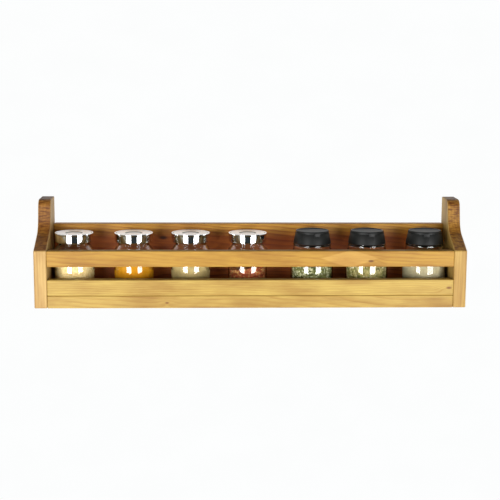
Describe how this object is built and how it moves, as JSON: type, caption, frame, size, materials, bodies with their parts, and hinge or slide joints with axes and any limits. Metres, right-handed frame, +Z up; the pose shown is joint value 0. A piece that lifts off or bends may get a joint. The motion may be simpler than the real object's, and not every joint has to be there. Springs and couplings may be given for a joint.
{
  "type": "spice rack",
  "caption": "Wooden wall-hung spice rack with a railed shelf between eared sides, holding loose glass jars with screw lids and flip-top caps.",
  "frame": {"origin": "middle of the underside of the whole rack, on the surface that it stands on", "axes": "+X along the rack to the viewer's right, -Y towards the front rails, +Y towards the wall, +Z up"},
  "size_m": [0.6, 0.1, 0.1445],
  "materials": {
    "stained_pine": "planed and oiled, satin",
    "zinc_steel": "zinc plated",
    "clear_glass": "clear moulded glass",
    "chrome_plate": "mirror chrome plate",
    "seal_foam": "soft white foam",
    "black_plastic": "moulded black plastic, low gloss",
    "garlic_granules": "dry loose spice",
    "turmeric_powder": "dry loose spice",
    "ginger_powder": "dry loose spice",
    "chilli_flakes": "dry loose spice",
    "dried_basil": "dry loose spice",
    "dried_oregano": "dry loose spice",
    "white_pepper": "dry loose spice"
  },
  "bodies": {
    "rack": {"left_side_board": "stained_pine", "right_side_board": "stained_pine", "shelf_board": "stained_pine", "back_board": "stained_pine", "lower_front_rail": "stained_pine", "upper_front_rail": "stained_pine", "left_hanger_plate": "zinc_steel", "right_hanger_plate": "zinc_steel", "left_side_screw_1": "zinc_steel", "left_side_screw_2": "zinc_steel", "left_side_screw_3": "zinc_steel", "left_side_screw_4": "zinc_steel", "left_side_screw_5": "zinc_steel", "left_side_screw_6": "zinc_steel", "right_side_screw_1": "zinc_steel", "right_side_screw_2": "zinc_steel", "right_side_screw_3": "zinc_steel", "right_side_screw_4": "zinc_steel", "right_side_screw_5": "zinc_steel", "right_side_screw_6": "zinc_steel", "left_hanger_screw_1": "zinc_steel", "left_hanger_screw_2": "zinc_steel", "right_hanger_screw_1": "zinc_steel", "right_hanger_screw_2": "zinc_steel"},
    "jar_1": {"jar_1_glass": "clear_glass", "jar_1_spice": "garlic_granules"},
    "jar_1_seal": {"jar_1_lid_seal": "seal_foam"},
    "jar_1_lid": {"jar_1_chrome_lid": "chrome_plate"},
    "jar_2": {"jar_2_glass": "clear_glass", "jar_2_spice": "turmeric_powder"},
    "jar_2_seal": {"jar_2_lid_seal": "seal_foam"},
    "jar_2_lid": {"jar_2_chrome_lid": "chrome_plate"},
    "jar_3": {"jar_3_glass": "clear_glass", "jar_3_spice": "ginger_powder"},
    "jar_3_seal": {"jar_3_lid_seal": "seal_foam"},
    "jar_3_lid": {"jar_3_chrome_lid": "chrome_plate"},
    "jar_4": {"jar_4_glass": "clear_glass", "jar_4_spice": "chilli_flakes"},
    "jar_4_seal": {"jar_4_lid_seal": "seal_foam"},
    "jar_4_lid": {"jar_4_chrome_lid": "chrome_plate"},
    "jar_5": {"jar_5_glass": "clear_glass", "jar_5_spice": "dried_basil"},
    "jar_5_closure": {"jar_5_cap": "black_plastic"},
    "jar_5_flip": {"jar_5_flip_lid": "black_plastic"},
    "jar_6": {"jar_6_glass": "clear_glass", "jar_6_spice": "dried_oregano"},
    "jar_6_closure": {"jar_6_cap": "black_plastic"},
    "jar_6_flip": {"jar_6_flip_lid": "black_plastic"},
    "jar_7": {"jar_7_glass": "clear_glass", "jar_7_spice": "white_pepper"},
    "jar_7_closure": {"jar_7_cap": "black_plastic"},
    "jar_7_flip": {"jar_7_flip_lid": "black_plastic"}
  },
  "joints": [
    {"name": "jar_1_lift", "type": "slide", "parent": "rack", "child": "jar_1", "axis": [0, 0, 1], "range_m": [0, 0.15]},
    {"name": "jar_1_lid_lift", "type": "slide", "parent": "jar_1", "child": "jar_1_seal", "axis": [0, 0, 1], "range_m": [0, 0.065]},
    {"name": "jar_1_lid_turn", "type": "hinge", "parent": "jar_1_seal", "child": "jar_1_lid", "pos_m": [-0.2494, 0, 0.0925], "axis": [0, 0, 1], "range_deg": [0, 360]},
    {"name": "jar_2_lift", "type": "slide", "parent": "rack", "child": "jar_2", "axis": [0, 0, 1], "range_m": [0, 0.15]},
    {"name": "jar_2_lid_lift", "type": "slide", "parent": "jar_2", "child": "jar_2_seal", "axis": [0, 0, 1], "range_m": [0, 0.065]},
    {"name": "jar_2_lid_turn", "type": "hinge", "parent": "jar_2_seal", "child": "jar_2_lid", "pos_m": [-0.1654, 0, 0.0925], "axis": [0, 0, 1], "range_deg": [0, 360]},
    {"name": "jar_3_lift", "type": "slide", "parent": "rack", "child": "jar_3", "axis": [0, 0, 1], "range_m": [0, 0.15]},
    {"name": "jar_3_lid_lift", "type": "slide", "parent": "jar_3", "child": "jar_3_seal", "axis": [0, 0, 1], "range_m": [0, 0.065]},
    {"name": "jar_3_lid_turn", "type": "hinge", "parent": "jar_3_seal", "child": "jar_3_lid", "pos_m": [-0.0849, 0, 0.0925], "axis": [0, 0, 1], "range_deg": [0, 360]},
    {"name": "jar_4_lift", "type": "slide", "parent": "rack", "child": "jar_4", "axis": [0, 0, 1], "range_m": [0, 0.15]},
    {"name": "jar_4_lid_lift", "type": "slide", "parent": "jar_4", "child": "jar_4_seal", "axis": [0, 0, 1], "range_m": [0, 0.065]},
    {"name": "jar_4_lid_turn", "type": "hinge", "parent": "jar_4_seal", "child": "jar_4_lid", "pos_m": [-0.004, 0, 0.0925], "axis": [0, 0, 1], "range_deg": [0, 360]},
    {"name": "jar_5_lift", "type": "slide", "parent": "rack", "child": "jar_5", "axis": [0, 0, 1], "range_m": [0, 0.15]},
    {"name": "jar_5_cap_lift", "type": "slide", "parent": "jar_5", "child": "jar_5_closure", "axis": [0, 0, 1], "range_m": [0, 0.065]},
    {"name": "jar_5_flip_open", "type": "hinge", "parent": "jar_5_closure", "child": "jar_5_flip", "pos_m": [0.08498, 0.01556, 0.1024], "axis": [-0.9816, -0.1908, 0], "range_deg": [0, 120]},
    {"name": "jar_6_lift", "type": "slide", "parent": "rack", "child": "jar_6", "axis": [0, 0, 1], "range_m": [0, 0.15]},
    {"name": "jar_6_cap_lift", "type": "slide", "parent": "jar_6", "child": "jar_6_closure", "axis": [0, 0, 1], "range_m": [0, 0.065]},
    {"name": "jar_6_flip_open", "type": "hinge", "parent": "jar_6_closure", "child": "jar_6_flip", "pos_m": [0.16409, 0.0157, 0.1024], "axis": [-0.9903, -0.1392, 0], "range_deg": [0, 120]},
    {"name": "jar_7_lift", "type": "slide", "parent": "rack", "child": "jar_7", "axis": [0, 0, 1], "range_m": [0, 0.15]},
    {"name": "jar_7_cap_lift", "type": "slide", "parent": "jar_7", "child": "jar_7_closure", "axis": [0, 0, 1], "range_m": [0, 0.065]},
    {"name": "jar_7_flip_open", "type": "hinge", "parent": "jar_7_closure", "child": "jar_7_flip", "pos_m": [0.25021, 0.01581, 0.1024], "axis": [-0.9976, 0.0698, 0], "range_deg": [0, 120]}
  ]
}
